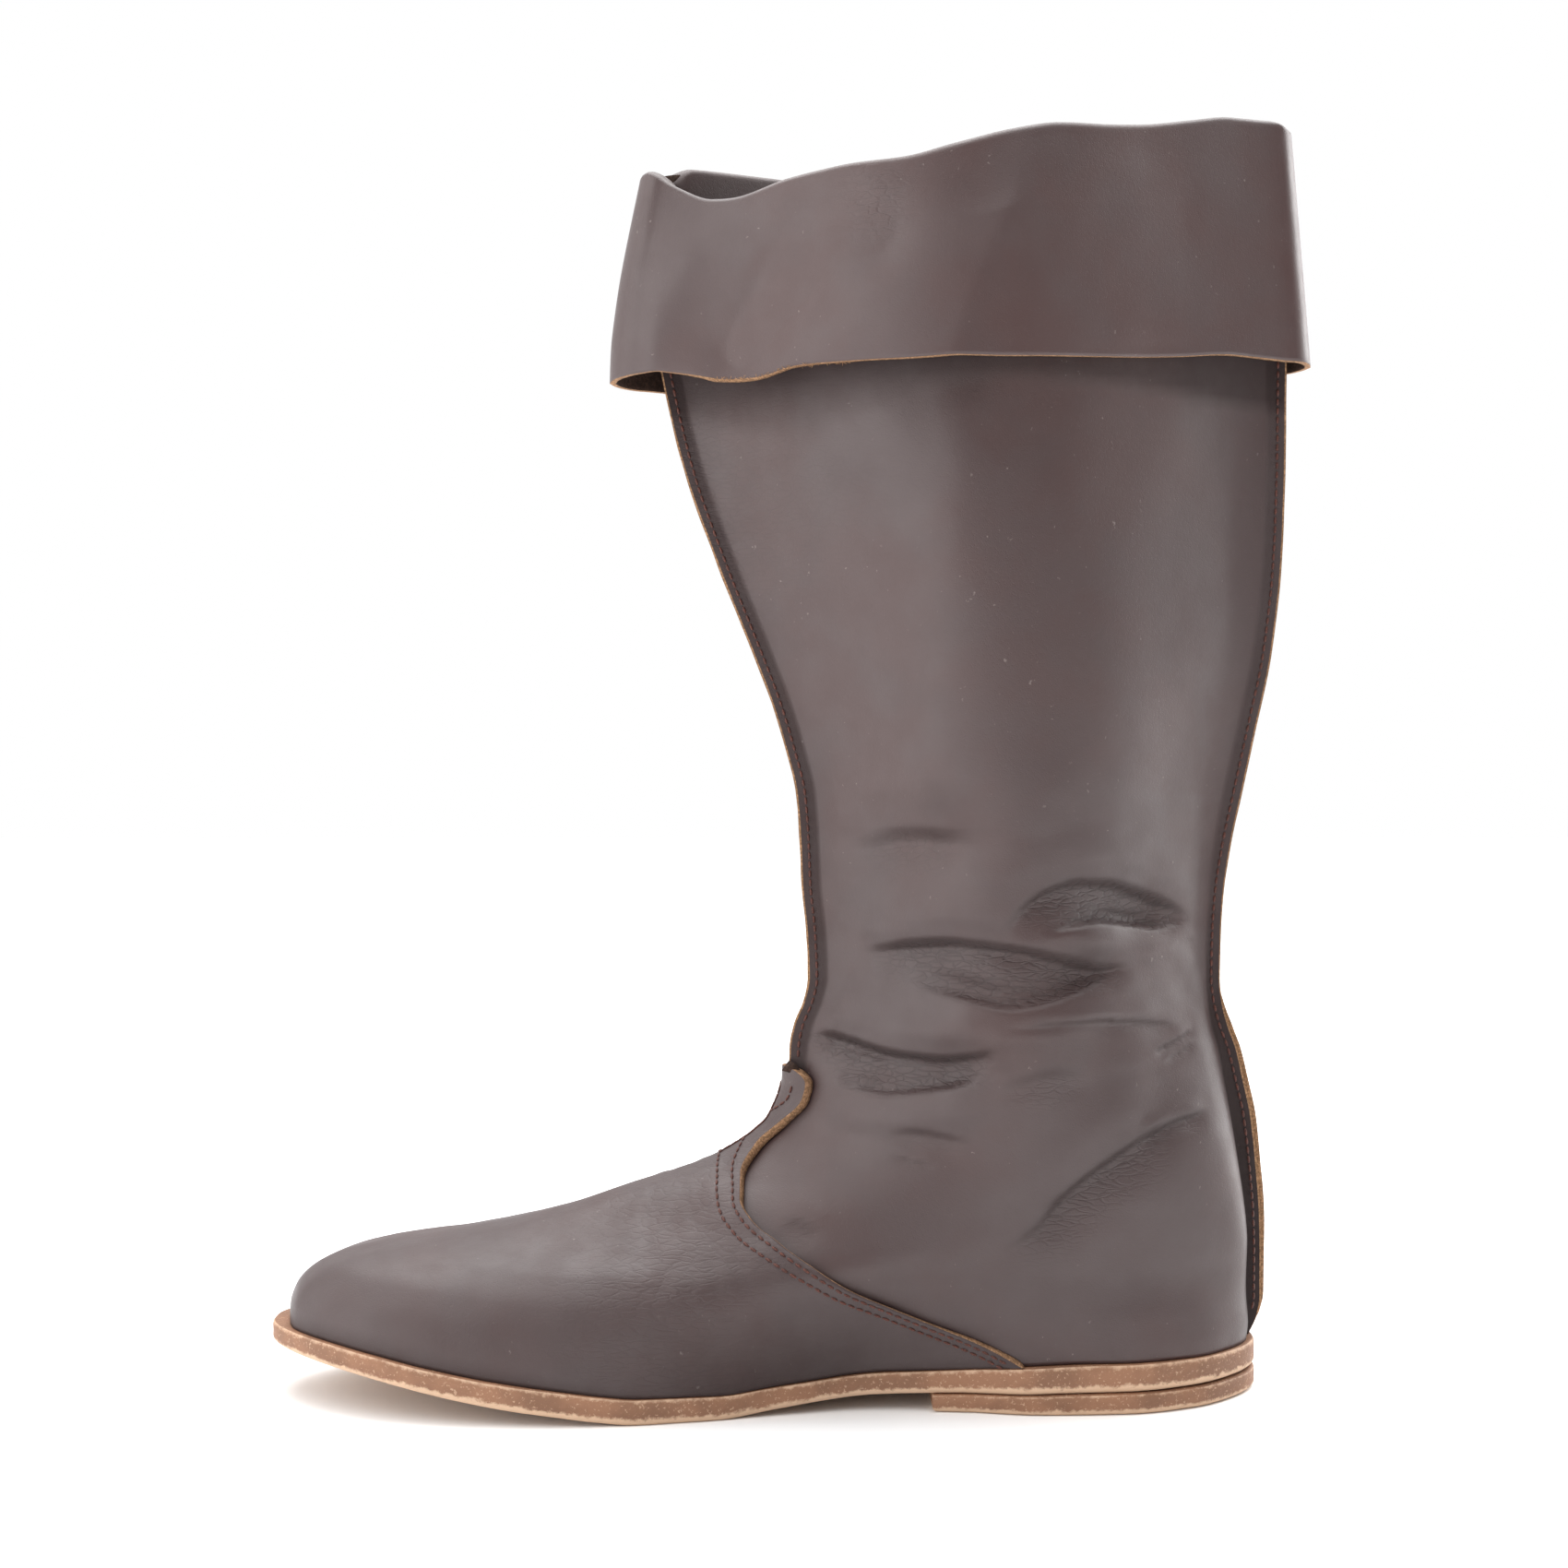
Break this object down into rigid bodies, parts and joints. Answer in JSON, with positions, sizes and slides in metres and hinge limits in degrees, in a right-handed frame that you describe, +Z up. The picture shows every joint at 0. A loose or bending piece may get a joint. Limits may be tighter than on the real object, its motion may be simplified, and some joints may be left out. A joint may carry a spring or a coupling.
{
  "type": "tall pull-on leather boot with turned-down cuff",
  "caption": "Tall pull-on leather boot with proud front and back seams, lapped vamp, turned-down cuff and leather sole with a low heel lift.",
  "frame": {"origin": "on the floor under the middle of the heel seat", "axes": "+Z up along the leg, -X towards the toe, -Y towards the inner side of the foot"},
  "size_m": [0.3174, 0.1123, 0.386],
  "materials": {
    "sole_leather": "burnished brown edge with a paler bevel",
    "lift_leather": "burnished brown edge with a paler bevel",
    "insole_leather": "plain matt footbed leather",
    "upper_leather": "smooth dark grey-brown grain, soft sheen",
    "vamp_leather": "smooth dark grey-brown grain, raw tan edge",
    "cuff_leather": "smooth dark grey-brown grain, raw tan hem"
  },
  "bodies": {
    "root": {"outsole": "sole_leather", "heel_lift": "lift_leather", "insole": "insole_leather", "upper": "upper_leather", "vamp": "vamp_leather", "cuff": "cuff_leather"}
  },
  "joints": []
}
